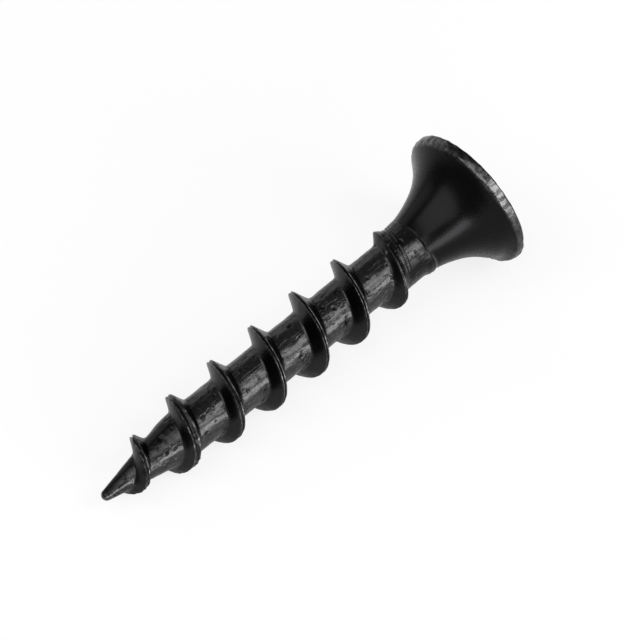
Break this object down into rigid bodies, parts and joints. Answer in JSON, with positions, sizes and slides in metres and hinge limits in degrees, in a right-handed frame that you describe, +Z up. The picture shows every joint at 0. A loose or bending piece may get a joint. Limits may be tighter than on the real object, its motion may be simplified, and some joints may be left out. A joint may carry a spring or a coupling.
{
  "type": "thread-forming screw",
  "caption": "Bugle-head thread-forming screw with a sharp point, a coarse deep thread up to the collar, a trumpet-shaped flare and a flat head with a cross recess, black phosphate finish.",
  "frame": {"origin": "centre of the bounding box on the bench, under the middle of the lying screw", "axes": "+X along the bench from the point to the head, +Z up from the bench; the shank rises 6.1 degrees towards the head, because the screw lies on its rim and on the thread near its point"},
  "size_m": [0.0252, 0.0074, 0.0075],
  "materials": {
    "black_phosphate": "satin black phosphate on hardened steel"
  },
  "bodies": {
    "root": {"screw": "black_phosphate"}
  },
  "joints": []
}
